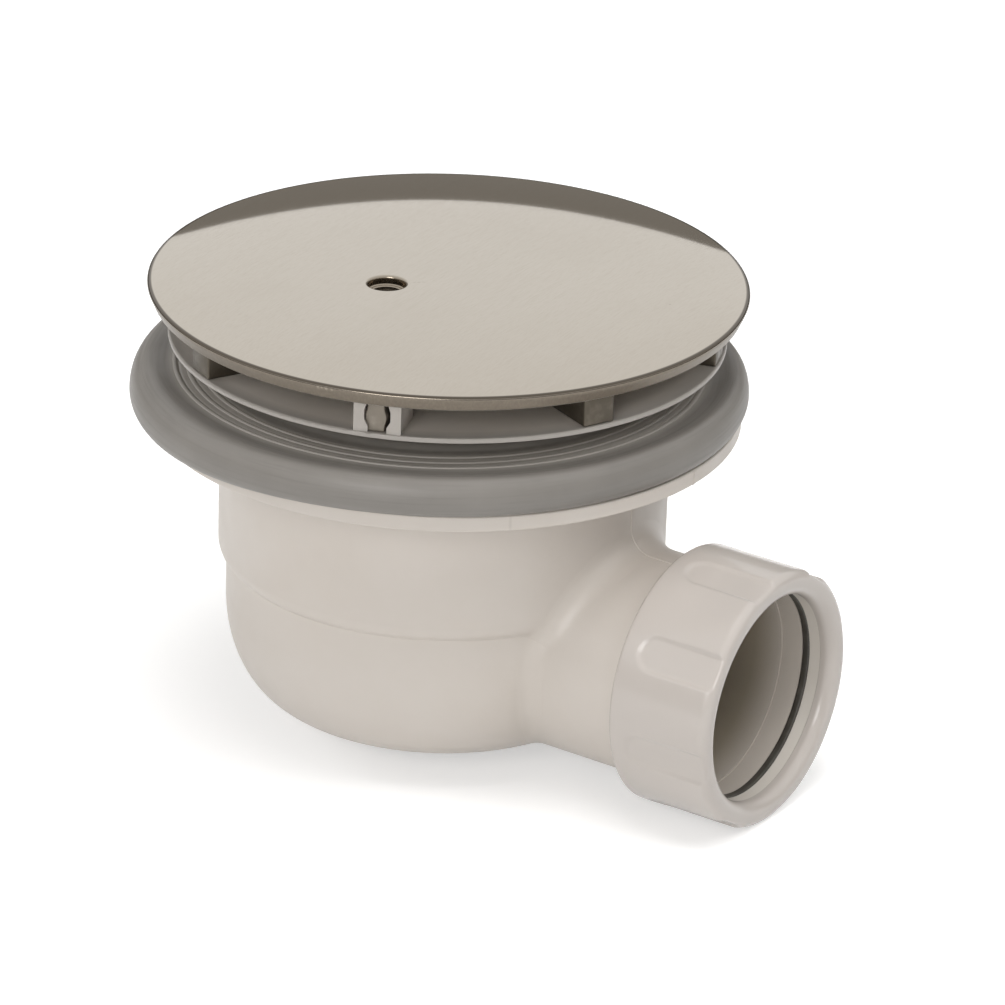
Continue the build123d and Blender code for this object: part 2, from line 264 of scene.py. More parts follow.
def keep_as_mesh(name, carrier_mesh, tree, values):
    """Run a tree on a carrier mesh with its named inputs set, and keep the result as a mesh."""
    carrier = put_in_scene(name + "_carrier", carrier_mesh)
    modifier = carrier.modifiers.new("nodes", "NODES")
    modifier.node_group = tree
    for item in tree.interface.items_tree:
        if item.item_type == "SOCKET" and item.in_out == "INPUT" and item.name in values:
            modifier[item.identifier] = values[item.name]
    bpy.context.view_layer.update()
    shown = carrier.evaluated_get(bpy.context.evaluated_depsgraph_get())
    mesh = bpy.data.meshes.new_from_object(shown)
    carrier.modifiers.remove(modifier)
    bpy.data.objects.remove(carrier)
    mesh.name = name
    return put_in_scene(name, mesh)


def start_tree(name, **inputs):
    """A Geometry Nodes tree with a geometry in and out, and named inputs of the given types."""
    tree = bpy.data.node_groups.new(name, "GeometryNodeTree")
    tree.interface.new_socket("Geometry", in_out="INPUT", socket_type="NodeSocketGeometry")
    for label, kind in inputs.items():
        tree.interface.new_socket(label, in_out="INPUT", socket_type="NodeSocket" + kind)
    tree.interface.new_socket("Geometry", in_out="OUTPUT", socket_type="NodeSocketGeometry")
    return tree, tree.nodes.new("NodeGroupInput"), tree.nodes.new("NodeGroupOutput")


def finish_tree(tree, source, given, result):
    """Shade the tree's shape smooth, and end in Realize Instances and Set Material."""
    smooth = tree.nodes.new("GeometryNodeSetShadeSmooth")
    real = tree.nodes.new("GeometryNodeRealizeInstances")
    coat = tree.nodes.new("GeometryNodeSetMaterial")
    link_nodes(
        tree,
        (source, (smooth, "Geometry")),
        ((smooth, "Geometry"), (real, "Geometry")),
        ((real, "Geometry"), (coat, "Geometry")),
        ((given, "Material"), (coat, "Material")),
        ((coat, "Geometry"), (result, "Geometry")),
    )


flash_tree, given, result = start_tree(
    "flash_ridge", Width="Float", Sides="Int", Material="Material"
)
flash_curve = flash_tree.nodes.new("GeometryNodeMeshToCurve")
flash_round = flash_tree.nodes.new("GeometryNodeCurvePrimitiveCircle")
flash_sweep = flash_tree.nodes.new("GeometryNodeCurveToMesh")
flash_sweep.inputs["Fill Caps"].default_value = True
link_nodes(
    flash_tree,
    ((given, "Geometry"), (flash_curve, "Mesh")),
    ((given, "Width"), (flash_round, "Radius")),
    ((given, "Sides"), (flash_round, "Resolution")),
    ((flash_curve, "Curve"), (flash_sweep, "Curve")),
    ((flash_round, "Curve"), (flash_sweep, "Profile Curve")),
)
finish_tree(flash_tree, (flash_sweep, "Mesh"), given, result)


def corner_arc(centre, radius, first, last, steps, rise=None):
    """Points of a round corner between two directions in degrees, oval where a rise is given."""
    points = []
    for i in range(steps + 1):
        turn = math.radians(first + (last - first) * i / steps)
        across = centre[0] + radius * math.cos(turn)
        points.append((across, centre[1] + (rise or radius) * math.sin(turn)))
    return points


def line_down_one_side(side, corner):
    """The mould line's points on the +X side (1) or the -X side (-1), with or without a corner."""
    points = [
        (flange_edge_x, flange_top_z - line_turn),
        (flange_edge_x, flange_foot_z + line_turn),
        (flange_edge_x - line_turn, flange_foot_z),
        (barrel_x + line_ease, flange_foot_z),
        (barrel_x + line_turn, flange_foot_z - line_turn),
        (barrel_x, flange_foot_z - line_ease),
    ]
    if corner:
        centre = (barrel_x + corner_radius, corner_start_z)
        points += corner_arc(centre, corner_radius, 180, 270, corner_steps)
        points.append((outlet_end_x, outlet_top_z))
    else:
        points.append((barrel_x, back_end_z))
    return [(side * x, 0.0, z) for x, z in points]


flash_values = {"Width": flash_height, "Sides": flash_sides, "Material": body_plastic}
for name, side, corner in (("mould_line_outlet", 1, True), ("mould_line_back", -1, False)):
    points = line_down_one_side(side, corner)
    line_mesh = bpy.data.meshes.new(name + "_line")
    line_mesh.from_pydata(points, [(i, i + 1) for i in range(len(points) - 1)], [])
    mould_line = keep_as_mesh(name, line_mesh, flash_tree, flash_values)
    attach(mould_line, "trap")

# OUTLET THREAD
# The coarse moulded thread on the outlet's spigot that the nut screws on to, part of the body.
# It shows once the nut is unscrewed. Its pitch is 3 mm and it runs as a spiral along +X.
thread_pitch = 0.003
thread_core = 0.0220
thread_sink = 0.00006
thread_first_x = 0.0592
thread_turns = 3.4
thread_rise = 0.00028
thread_steps = 96
thread_sides = 10

thread_tree, given, result = start_tree(
    "spiral_thread",
    Core="Float",
    Pitch="Float",
    Turns="Float",
    Rise="Float",
    Start="Vector",
    Material="Material",
)
spiral = thread_tree.nodes.new("GeometryNodeCurveSpiral")
spiral.inputs["Resolution"].default_value = thread_steps
thread_length = worked_out(thread_tree, "MULTIPLY", (given, "Pitch"), (given, "Turns"))
thread_bead = thread_tree.nodes.new("GeometryNodeCurvePrimitiveCircle")
thread_bead.inputs["Resolution"].default_value = thread_sides
thread_sweep = thread_tree.nodes.new("GeometryNodeCurveToMesh")
thread_sweep.inputs["Fill Caps"].default_value = True
thread_turned = thread_tree.nodes.new("GeometryNodeTransform")
thread_turned.inputs["Rotation"].default_value = (0.0, math.pi / 2, 0.0)
link_nodes(
    thread_tree,
    ((given, "Core"), (spiral, "Start Radius")),
    ((given, "Core"), (spiral, "End Radius")),
    ((given, "Turns"), (spiral, "Rotations")),
    (thread_length, (spiral, "Height")),
    ((given, "Rise"), (thread_bead, "Radius")),
    ((spiral, "Curve"), (thread_sweep, "Curve")),
    ((thread_bead, "Curve"), (thread_sweep, "Profile Curve")),
    ((thread_sweep, "Mesh"), (thread_turned, "Geometry")),
    ((given, "Start"), (thread_turned, "Translation")),
)
finish_tree(thread_tree, (thread_turned, "Geometry"), given, result)
thread_values = {
    "Core": thread_core - thread_sink,
    "Pitch": thread_pitch,
    "Turns": thread_turns,
    "Rise": thread_rise,
    "Start": (thread_first_x, 0.0, outlet_axis_z),
    "Material": body_plastic,
}
thread_carrier = bpy.data.meshes.new("outlet_thread_start")
outlet_thread = keep_as_mesh("outlet_thread", thread_carrier, thread_tree, thread_values)
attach(outlet_thread, "trap")

# TRAP CUP AND DIP TUBE
# The loose cup that holds the water seal and the tube that dips into it, two thin grey mouldings
# that lift out for cleaning once the cover is off. Both CAD nodes are kept.
insert_grey = (0.470, 0.455, 0.430)
insert_dull = (0.400, 0.380, 0.350)
insert_plastic = moulded_plastic(
    "grey_insert", insert_grey, insert_dull, bright=0.40, dull=0.50, specks=0.10
)
dress("trap_cup", insert_plastic)
dress("dip_tube", insert_plastic)

# DIP TUBE RING AND OUTLET SEAL
# Black rubber rings: a round one in the dip tube's groove, and a flat one held between the
# spigot's end and the nut's washer. The flat one is drawn again with soft, uneven edges.
seal_black = (0.048, 0.044, 0.037)
seal_rear_x = 0.0705
seal_front_x = 0.0721
seal_bore = 0.0203
seal_rim = 0.0220
seal_round = 0.00045
seal_sides = 160
crease_angle = math.radians(40)
seal_waves = ((0.00010, 2, 0.7), (0.00005, 7, 0.0))


def black_rubber(name, colour):
    """Dull rubber with a dusty bloom and a fine, slightly pitted skin."""
    finish, tree, shader, here = start_finish(name)
    bloom = noise_at(tree, here, scale=220.0, detail=5.0)
    pits = noise_at(tree, here, scale=2600.0, detail=3.0)
    pale = tuple(channel * 1.9 + 0.012 for channel in colour)
    tone = tint(tree, span(tree, bloom, (0.42, 0.78), (0.0, 0.7)), colour, pale)
    rough = span(tree, bloom, (0.3, 0.7), (0.42, 0.60))
    link_nodes(tree, (tone, (shader, "Base Color")), (rough, (shader, "Roughness")))
    bumped(tree, shader, pits, strength=0.20, depth=0.00006)
    return finish


def turned_mesh(name, rings):
    """Join equal rings of points, the last one to the first, into a closed smooth mesh."""
    count = len(rings[0])
    points = [point for ring in rings for point in ring]
    faces = []
    for i in range(len(rings)):
        j = (i + 1) % len(rings)
        for k in range(count):
            n = (k + 1) % count
            faces.append((i * count + k, i * count + n, j * count + n, j * count + k))
    mesh = bpy.data.meshes.new(name)
    mesh.from_pydata(points, [], faces)
    shape = bmesh.new()
    shape.from_mesh(mesh)
    bmesh.ops.recalc_face_normals(shape, faces=shape.faces)
    if shape.calc_volume(signed=True) < 0:
        bmesh.ops.reverse_faces(shape, faces=shape.faces)
    shape.to_mesh(mesh)
    shape.free()
    mesh.shade_smooth()
    mesh.set_sharp_from_angle(angle=crease_angle)
    return put_in_scene(name, mesh)


def along_outlet(profile, count, reach):
    """Turn (radius, x) points about the outlet's axis, each radius set by reach."""
    rings = []
    for radius, x in profile:
        ring = []
        for k in range(count):
            angle = 2 * math.pi * k / count
            r = reach(radius, x, angle)
            ring.append((x, r * math.cos(angle), outlet_axis_z + r * math.sin(angle)))
        rings.append(ring)
    return rings


def uneven_seal(radius, x, angle):
    """The seal's radius, a little wavy towards its bore."""
    inner_share = max(0.0, (seal_rim - radius) / (seal_rim - seal_bore))
    wave = sum(height * math.sin(count * angle + lag) for height, count, lag in seal_waves)
    return radius + inner_share * wave


seal_rubber = black_rubber("black_seal_rubber", seal_black)
dress("dip_tube_seal", seal_rubber)
seal_inner, seal_outer = seal_bore + seal_round, seal_rim - seal_round
seal_low, seal_high = seal_rear_x + seal_round, seal_front_x - seal_round
seal_profile = (
    corner_arc((seal_inner, seal_low), seal_round, 180, 270, 5)
    + corner_arc((seal_outer, seal_low), seal_round, 270, 360, 5)
    + corner_arc((seal_outer, seal_high), seal_round, 0, 90, 5)
    + corner_arc((seal_inner, seal_high), seal_round, 90, 180, 5)
)
seal_rings = along_outlet(seal_profile, seal_sides, uneven_seal)
outlet_seal = turned_mesh("outlet_seal_ring", seal_rings)
outlet_seal.data.materials.append(seal_rubber)
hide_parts("outlet_seal")
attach(outlet_seal, "outlet_gland")

# TRAY GASKET
# The wide grey rubber ring that seals the body's flange to the underside of the tray, moulded
# with three ridges and a rolled outer bead. It lies loose on the flange and sags over its edge.
gasket_grey = (0.192, 0.180, 0.165)
gasket_sides = 320
gasket_bead = 0.0567
gasket_bead_z = -0.0060
gasket_foot_z = -0.0090
gasket_crest_z = -0.0013
gasket_band_z = -0.0019
gasket_bore = 0.0409
gasket_inner_z = -0.0011
gasket_round = 0.0005
bead_width = 0.0028
bead_gap = 0.0001
bead_heel = 0.0006
band_steps = 12
band_fall_steps = 8
flap_steps = 9
flap_flat_steps = 3
heel_lift = 0.00005
ridge_count = 3
ridge_outer = 0.0513
ridge_step = 0.0024
ridge_crest = 0.0009
ridge_gap = 0.0005
ridge_top_z = -0.00165
ridge_groove_z = -0.0020
ridge_inner = ridge_outer - 2 * ridge_step - ridge_crest
ridge_fade_out = 0.0015
ridge_fade_in = 0.0012
streak_turn = 0.0022
gasket_aside = 0.0013
gasket_held = 0.0040
aside_way = math.radians(214)
front_way = math.radians(-55)
slump_way = math.radians(233)
slump_spread = 1.8
back_drop = 0.0002
hang_start = 0.0535
hang_reach = 0.0040
sag_back = 0.0004
sag_aside = 0.0007
sag_slump = 0.0010
sag_ripple = 0.00012
ripple_count = 5
ripple_lag = 1.1


def ring_rubber(name, colour):
    """Grey moulded rubber with turned streaks, pale bloom and a soft skin, and painted light that
    makes the rubber over the ridges paler.
    """
    finish, tree, shader, here = start_finish(name)
    to_centre = (-gasket_aside * math.cos(aside_way), -gasket_aside * math.sin(aside_way), 0.0)
    centred = mapped(tree, here, "Location", to_centre)
    out = worked_out(tree, "LENGTH", mapped(tree, centred, "Scale", (1.0, 1.0, 0.0)))
    x, y, z = (one_axis(tree, centred, axis) for axis in "XYZ")
    turn = worked_out(tree, "ARCTAN2", y, x)
    wrapped = tree.nodes.new("ShaderNodeCombineXYZ")
    slow_turn = worked_out(tree, "MULTIPLY", turn, streak_turn)
    link_nodes(tree, (out, (wrapped, "X")), (z, (wrapped, "Y")), (slow_turn, (wrapped, "Z")))
    streak = noise_at(tree, (wrapped, "Vector"), scale=1500.0, detail=3.0)
    bloom = noise_at(tree, here, scale=60.0, detail=5.0)
    skin = noise_at(tree, here, scale=2400.0, detail=2.0)
    tone = tint(tree, span(tree, bloom, (0.3, 0.75), (0.0, 1.0)), colour, toned(colour, 1.16))
    tone = tint(tree, span(tree, streak, (0.5, 0.85), (0.0, 0.55)), tone, toned(colour, 0.84))
    # Painted light: the rubber over the ridges is made paler to stand in for the light that falls
    # there.
    beyond = span(tree, out, (ridge_outer, ridge_outer + ridge_fade_out), (1.0, 0.0))
    within = span(tree, out, (ridge_inner - ridge_fade_in, ridge_inner), (0.2, 1.0))
    ridges_painted_light = worked_out(tree, "MULTIPLY", beyond, within)
    tone = tint(tree, ridges_painted_light, tone, toned(colour, 1.95))
    rough = span(tree, streak, (0.3, 0.7), (0.40, 0.52))
    link_nodes(tree, (tone, (shader, "Base Color")), (rough, (shader, "Roughness")))
    bumped(tree, shader, worked_out(tree, "ADD", streak, skin), strength=0.12, depth=0.00005)
    return finish


def half_wave(share):
    """0 to 1 along half a cosine wave, held at both ends."""
    return (1.0 - math.cos(math.pi * min(1.0, max(0.0, share)))) / 2


def gasket_section():
    """The section as (radius, z) points, from the bead's foot over the ridges to the bore."""
    bead = (gasket_bead, gasket_bead_z)
    low = gasket_bead_z - gasket_foot_z - bead_gap
    high = gasket_crest_z - gasket_bead_z
    section = corner_arc(bead, bead_width, -90, 0, 14, rise=low)
    section += corner_arc(bead, bead_width, 0, 90, 16, rise=high)[1:]
    for i in range(1, band_steps):
        r = gasket_bead - (gasket_bead - ridge_outer) * i / band_steps
        fall = half_wave(i / band_fall_steps) * (gasket_band_z - gasket_crest_z)
        section.append((r, gasket_crest_z + fall))
    shallow = (gasket_band_z + ridge_groove_z) / 2
    for i in range(ridge_count):
        outer = ridge_outer - ridge_step * i
        crest = (outer - ridge_crest / 2, gasket_band_z)
        section += corner_arc(crest, ridge_crest / 2, 0, 180, 8, rise=ridge_top_z - gasket_band_z)
        inner = outer - ridge_crest
        for share, z in ((0.25, shallow), (0.5, ridge_groove_z), (0.75, shallow)):
            section.append((inner - ridge_gap * share, z))
        start = inner - ridge_gap
        for k in range(3):
            section.append((start - (start - (outer - ridge_step)) * k / 3, gasket_band_z))
    flap_start = section[-1][0]
    lip = gasket_bore + gasket_round
    for i in range(1, flap_steps):
        share = (i - flap_flat_steps) / (flap_steps - flap_flat_steps - 1)
        rise = half_wave(share) * (gasket_inner_z - gasket_band_z)
        section.append((flap_start - (flap_start - lip) * i / flap_steps, gasket_band_z + rise))
    section += corner_arc((lip, gasket_inner_z - gasket_round), gasket_round, 90, 180, 4)
    section += corner_arc((lip, gasket_foot_z + gasket_round), gasket_round, 180, 270, 4)
    section.append(((gasket_bore + gasket_bead) / 2, gasket_foot_z))
    section.append((gasket_bead - bead_heel, gasket_foot_z))
    section.append((gasket_bead - bead_heel * 2 / 3, gasket_foot_z + heel_lift))
    return section


def lie_loose(radius, z, angle):
    """Where a point of the gasket lies: a little aside, settled at the back, the bead sagging."""
    behind = (1.0 - math.cos(angle - front_way)) / 2
    height_share = (z - gasket_foot_z) / -gasket_foot_z
    from_slump = (angle - slump_way + math.pi) % (2 * math.pi) - math.pi
    slump = max(0.0, math.cos(slump_spread * from_slump)) ** 2
    hang = min(1.0, max(0.0, (radius - hang_start) / hang_reach)) ** 2
    sag = sag_back * behind + sag_aside * math.cos(angle - aside_way) + sag_slump * slump
    sag = (sag - sag_ripple * math.sin(ripple_count * angle + ripple_lag)) * hang
    drop = back_drop * behind * height_share + (sag if sag > 0.0 else sag * height_share)
    aside = gasket_aside * min(1.0, max(0.0, (radius - gasket_bore) / gasket_held))
    x = radius * math.cos(angle) + aside * math.cos(aside_way)
    y = radius * math.sin(angle) + aside * math.sin(aside_way)
    return (x, y, z - drop)


gasket_turns = [2 * math.pi * k / gasket_sides for k in range(gasket_sides)]
gasket_rings = [[lie_loose(r, z, turn) for turn in gasket_turns] for r, z in gasket_section()]
tray_gasket = turned_mesh("tray_gasket_ring", gasket_rings)
tray_gasket.data.materials.append(ring_rubber("grey_gasket_rubber", gasket_grey))
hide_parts("tray_gasket")
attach(tray_gasket, "trap")

# CLAMPING FLANGE
# The white moulded ring that presses the tray on to the gasket, with the dish below it and two
# posts for the cover's clips. The CAD node is kept.
flange_white = (0.560, 0.520, 0.478)
# Painted shade under the cover's overhang, darkening the flange's edge and the posts.
flange_painted_shade = (0.375, 0.350, 0.322)
shade_ring = (0.0500, 0.0525)
shade_post_z = (0.0052, 0.0058)
shade_post_share = 0.65


def shade_under_cover(tree, here):
    """The share of painted shade under the cover's overhang: most round the flange's edge, less on
    the posts' faces.
    """
    out = worked_out(tree, "LENGTH", mapped(tree, here, "Scale", (1.0, 1.0, 0.0)))
    outer = span(tree, out, shade_ring, (0.0, 1.0))
    low = span(tree, one_axis(tree, here, "Z"), shade_post_z, (1.0, shade_post_share))
    return worked_out(tree, "MULTIPLY", outer, low)


flange_plastic = moulded_plastic(
    "white_clamp",
    flange_white,
    body_warm,
    bright=0.34,
    dull=0.44,
    specks=0.08,
    marks=((shade_under_cover, flange_painted_shade),),
)
dress("clamping_flange", flange_plastic)

# FLANGE SCREWS
# Four bright plated steel screws that pull the clamping flange and the body together through
# the tray. They are rolled and headed wire; the CAD node is kept.
screw_grey = (0.52, 0.51, 0.49)


def bright_steel(name, colour):
    """Plated steel, faintly clouded, with a fine grain."""
    finish, tree, shader, here = start_finish(name)
    cloud = noise_at(tree, here, scale=400.0)
    grain = noise_at(tree, here, scale=5200.0, detail=2.0)
    tone = tint(tree, span(tree, cloud, (0.4, 0.8), (0.0, 0.8)), colour, toned(colour, 0.72))
    rough = span(tree, cloud, (0.3, 0.7), (0.28, 0.38))
    shader.inputs["Metallic"].default_value = 1.0
    link_nodes(tree, (tone, (shader, "Base Color")), (rough, (shader, "Roughness")))
    bumped(tree, shader, grain, strength=0.10, depth=0.00003)
    return finish


dress("flange_screws", bright_steel("plated_screws", screw_grey))

# COVER
# The brushed, nickel-coloured metal cap that hides the waste: a shallow dome that falls away
# faster towards its edge, a tapered rim, and a lift hole with a ledge and a boss below it.
cover_metal = (0.540, 0.493, 0.427)
cover_streak = (0.474, 0.426, 0.358)
# The edge, lip and rim colours are painted reflections: darker tones that stand in for the dark
# surroundings the rounding and the rim reflect. The rim's scratch streaks are real.
cover_edge_painted_reflection = (0.110, 0.092, 0.072)
cover_lip_painted_reflection = (0.220, 0.192, 0.158)
cover_rim_painted_reflection = (0.165, 0.142, 0.114)
# Painted shade inside the lift hole.
cover_hole_painted_shade = (0.315, 0.270, 0.215)
cover_under_metal = (0.480, 0.446, 0.396)
cover_scuff_metal = (0.330, 0.293, 0.243)
cover_sides = 288
top_rings = 44
top_crowding = 0.9
underside_tilt = -0.5
cover_edge = 0.0570
cover_skin = 0.0016
crown_z = 0.0169
crown_rise = 0.0020
crown_even_share = 0.25
edge_round = 0.0005
edge_band = (cover_edge - 0.0004, cover_edge - 0.0001)
rim_top_z = 0.0149
rim_foot_z = 0.0119
rim_taper = 0.0011
rim_wall = 0.0022
rim_foot_round = 0.0003
rim_root = 0.0006
lip_band = (rim_top_z - 0.00024, rim_top_z - 0.00018)
rim_band = (rim_top_z - 0.00058, rim_top_z - 0.00044)
lift_angle = math.radians(-114.0)
lift_offset = 0.0138
lift_centre = (lift_offset * math.cos(lift_angle), lift_offset * math.sin(lift_angle))
lift_hole = 0.0036
lift_round = 0.0006
lift_ledge = 0.0006
lift_ledge_depth = 0.0018
lift_chamfer = 0.0002
lift_boss = 0.0050
lift_boss_depth = 0.0035
lift_band = (lift_hole + 0.0001, lift_hole + 0.0005)
brush_angle = math.radians(94.0)
brush_stretch = 0.09
rim_stretch = 0.12
cover_wear = (
    ((0.0413, 0.0137, 0.0159), 0.00035, 0.70),
    ((-0.0016, -0.0092, 0.0169), 0.00050, 0.22),
    ((-0.0010, -0.0086, 0.0169), 0.00045, 0.26),
    ((-0.0004, -0.0080, 0.0169), 0.00045, 0.20),
    ((0.0105, -0.0563, 0.0143), 0.00040, 0.80),
    ((0.0112, -0.0562, 0.0143), 0.00035, 0.70),
    ((0.0121, -0.0560, 0.0143), 0.00045, 0.80),
    ((0.0132, -0.0558, 0.0142), 0.00035, 0.60),
)


def dome_height(x, y):
    """The height of the cover's top at a place."""
    share = min(1.0, math.hypot(x, y) / cover_edge)
    even, late = crown_even_share, 1.0 - crown_even_share
    return crown_z - crown_rise * (even * share ** 2 + late * share ** 4)


def reach_of_circle(direction, radius):
    """How far from the lift hole's centre a direction meets a circle about the cover's centre."""
    x, y = lift_centre
    along = x * math.cos(direction) + y * math.sin(direction)
    return -along + math.sqrt(along ** 2 + radius ** 2 - x ** 2 - y ** 2)


def round_hole(directions, inner, share=0.0, outer=cover_edge, drop=0.0, height=None):
    """A ring of points about the lift hole, part of the way to a circle about the cover's centre.

    It follows the dome with a drop, or lies at one height.
    """
    ring = []
    for d in directions:
        distance = inner + (reach_of_circle(d, outer) - inner) * share
        x = lift_centre[0] + distance * math.cos(d)
        y = lift_centre[1] + distance * math.sin(d)
        ring.append((x, y, dome_height(x, y) - drop if height is None else height))
    return ring


def round_rim(directions, radius, height):
    """A ring of points about the cover's centre, in step with the directions from the hole."""
    ring = []
    for d in directions:
        reach = reach_of_circle(d, cover_edge)
        x = lift_centre[0] + reach * math.cos(d)
        y = lift_centre[1] + reach * math.sin(d)
        turn = math.atan2(y, x)
        ring.append((radius * math.cos(turn), radius * math.sin(turn), height))
    return ring


def even_directions(count):
    """Directions from the lift hole that meet the rim at even spacing."""
    found = []
    for k in range(count):
        turn = 2 * math.pi * k / count
        x = cover_edge * math.cos(turn) - lift_centre[0]
        y = cover_edge * math.sin(turn) - lift_centre[1]
        found.append(math.atan2(y, x))
    return found


def cover_rings():
    """The cover's rings of points: over the top, down the rim, back below and up the lift hole."""
    directions = even_directions(cover_sides)
    between = [(i / top_rings) ** top_crowding for i in range(1, top_rings)]
    top_shares = [0.0, 0.002, *between, 0.992, 0.998, 1.0]
    rings = [round_hole(directions, lift_hole + lift_round, share) for share in top_shares]
    edge_z = rim_top_z - edge_round
    outer = cover_edge + edge_round
    foot = outer - rim_taper
    inner = foot - rim_wall
    foot_z = rim_foot_z + rim_foot_round
    rim = corner_arc((cover_edge, edge_z), edge_round, 82, 0, 9)
    for share in (0.3, 0.6, 0.9):
        rim.append((outer - rim_taper * share, edge_z - share * (edge_z - rim_foot_z)))
    rim += corner_arc((foot - rim_foot_round, foot_z), rim_foot_round, -20, -90, 4)
    rim += corner_arc((inner + rim_foot_round, foot_z), rim_foot_round, -90, -180, 4)
    rim.append((inner, dome_height(inner, 0.0) - cover_skin - rim_root))
    rings += [round_rim(directions, radius, z) for radius, z in rim]
    for share in (1.0, 0.8, 0.55, 0.3, 0.12, 0.0):
        rings.append(round_hole(directions, lift_boss, share, inner - rim_root, cover_skin))
    centre_z = dome_height(*lift_centre)
    boss_z = centre_z - cover_skin - lift_boss_depth
    ledge_z = centre_z - lift_ledge_depth
    bore = lift_hole - lift_ledge
    for distance, z in (
        (lift_boss, boss_z + lift_chamfer),
        (lift_boss - lift_chamfer, boss_z),
        (bore + lift_chamfer, boss_z),
        (bore, boss_z + lift_chamfer),
        (bore, ledge_z - lift_chamfer),
        (bore + lift_chamfer, ledge_z),
        (lift_hole - lift_chamfer, ledge_z),
        (lift_hole, ledge_z + lift_chamfer),
    ):
        rings.append(round_hole(directions, distance, height=z))
    mouth = corner_arc((lift_hole + lift_round, lift_round), lift_round, 180, 270, 8)
    for distance, drop in mouth[:-1]:
        rings.append(round_hole(directions, distance, drop=drop))
    return rings


def worn_spot(tree, here, spot, reach, share):
    """The share at a worn spot on the piece, fading to 0 at its reach."""
    away = worked_out(tree, "DISTANCE", here, spot)
    return span(tree, away, (0.4 * reach, reach), (share, 0.0))


def brushed_metal(name, colour, streak, rim):
    """Brushed metal: hairlines one way, a duller rim with scratch streaks, small wear marks, and
    painted light: a dark reflection line on the edge's rounding, darker reflections on the lower
    rounding and the rim, and shade inside the lift hole.
    """
    finish, tree, shader, here = start_finish(name)
    lay = mapped(tree, here, "Rotation", (0.0, 0.0, -brush_angle))
    brushed = mapped(tree, lay, "Scale", (brush_stretch, 1.0, 1.0))
    hair = noise_at(tree, brushed, scale=4600.0, detail=3.0, roughness=0.6)
    band = noise_at(tree, brushed, scale=700.0)
    cloud = noise_at(tree, here, scale=30.0)
    tone = tint(tree, span(tree, hair, (0.45, 0.75), (0.0, 0.55)), colour, streak)
    tone = tint(tree, span(tree, band, (0.5, 0.8), (0.0, 0.25)), tone, streak)
    tone = tint(tree, span(tree, cloud, (0.45, 0.8), (0.0, 0.35)), tone, streak)
    upright = mapped(tree, here, "Scale", (1.0, 1.0, rim_stretch))
    scratch = noise_at(tree, upright, scale=2600.0, detail=3.0)
    rim_tone = tint(tree, span(tree, scratch, (0.4, 0.75), (0.0, 1.0)), rim, toned(rim, 1.2))
    flat = mapped(tree, here, "Scale", (1.0, 1.0, 0.0))
    height = one_axis(tree, here, "Z")
    edge = span(tree, worked_out(tree, "LENGTH", flat), edge_band, (0.0, 1.0))
    lip = span(tree, height, lip_band, (1.0, 0.0))
    below = span(tree, height, rim_band, (1.0, 0.0))
    off_hole = worked_out(tree, "DISTANCE", flat, (*lift_centre, 0.0))
    inside = span(tree, off_hole, lift_band, (1.0, 0.0))
    # Painted reflections on the edge, lip and rim, and painted shade inside the lift hole.
    parts = ((edge, cover_edge_painted_reflection), (lip, cover_lip_painted_reflection), (below, rim_tone))
    for part, metal in (*parts, (inside, cover_hole_painted_shade)):
        tone = tint(tree, part, tone, metal)
    for spot, reach, share in cover_wear:
        tone = tint(tree, worn_spot(tree, here, spot, reach, share), tone, cover_scuff_metal)
    rough = span(tree, hair, (0.3, 0.7), (0.03, 0.06))
    for part, rise in ((inside, 0.16), (lip, 0.14), (below, 0.18)):
        rough = worked_out(tree, "MULTIPLY_ADD", part, rise, rough)
    shader.inputs["Metallic"].default_value = 1.0
    link_nodes(tree, (tone, (shader, "Base Color")), (rough, (shader, "Roughness")))
    bumped(tree, shader, hair, strength=0.02, depth=0.00001)
    return finish


def cast_metal(name, colour, worn, metal=0.7):
    """Rough cast metal with a pitted skin and bright worn patches."""
    finish, tree, shader, here = start_finish(name)
    patch = noise_at(tree, here, scale=420.0, detail=5.0)
    pits = noise_at(tree, here, scale=2300.0)
    tone = tint(tree, span(tree, patch, (0.5, 0.72), (0.0, 0.8)), colour, worn)
    rough = span(tree, patch, (0.3, 0.7), (0.50, 0.34))
    shader.inputs["Metallic"].default_value = metal
    link_nodes(tree, (tone, (shader, "Base Color")), (rough, (shader, "Roughness")))
    bumped(tree, shader, pits, strength=0.25, depth=0.00008)
    return finish


cover_cap = turned_mesh("cover_cap", cover_rings())
cover_top = brushed_metal("brushed_nickel", cover_metal, cover_streak, cover_rim_painted_reflection)
under_worn = toned(cover_under_metal, 1.2)
cover_below = cast_metal("cast_underside", cover_under_metal, under_worn, metal=0.2)
for finish in (cover_top, cover_below):
    cover_cap.data.materials.append(finish)
for face in cover_cap.data.polygons:
    if face.normal.z < underside_tilt:
        face.material_index = 1
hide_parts("cover")
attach(cover_cap, "cover")

# COVER FEET AND CLIP TONGUES
# Six square cast feet that hold the cover off the ring so that water runs in, and two shaped
# tongues that snap into the posts, all cast with the cover. Their faces are worn in places.
tongue_angle = -69.4
support_outer = 0.0531
foot_width = 0.0065
foot_length = 0.0120
foot_base_z = 0.0051
foot_top_z = 0.0145
foot_bevel = 0.00035
foot_turns = (46.2, 90.0, 133.8)
foot_metal = (0.093, 0.079, 0.060)
foot_worn = (0.128, 0.110, 0.087)
tongue_length = 0.0075
tongue_recess = 0.0004
tongue_bevel = 0.0002
tongue_half = (
    (0.00168, 0.00515),
    (0.00164, 0.0060),
    (0.00174, 0.0065),
    (0.00192, 0.0071),
    (0.00204, 0.0078),
    (0.00202, 0.0085),
    (0.00184, 0.0090),
    (0.00164, 0.0095),
    (0.00162, foot_top_z),
)
tongue_metal = (0.205, 0.181, 0.150)
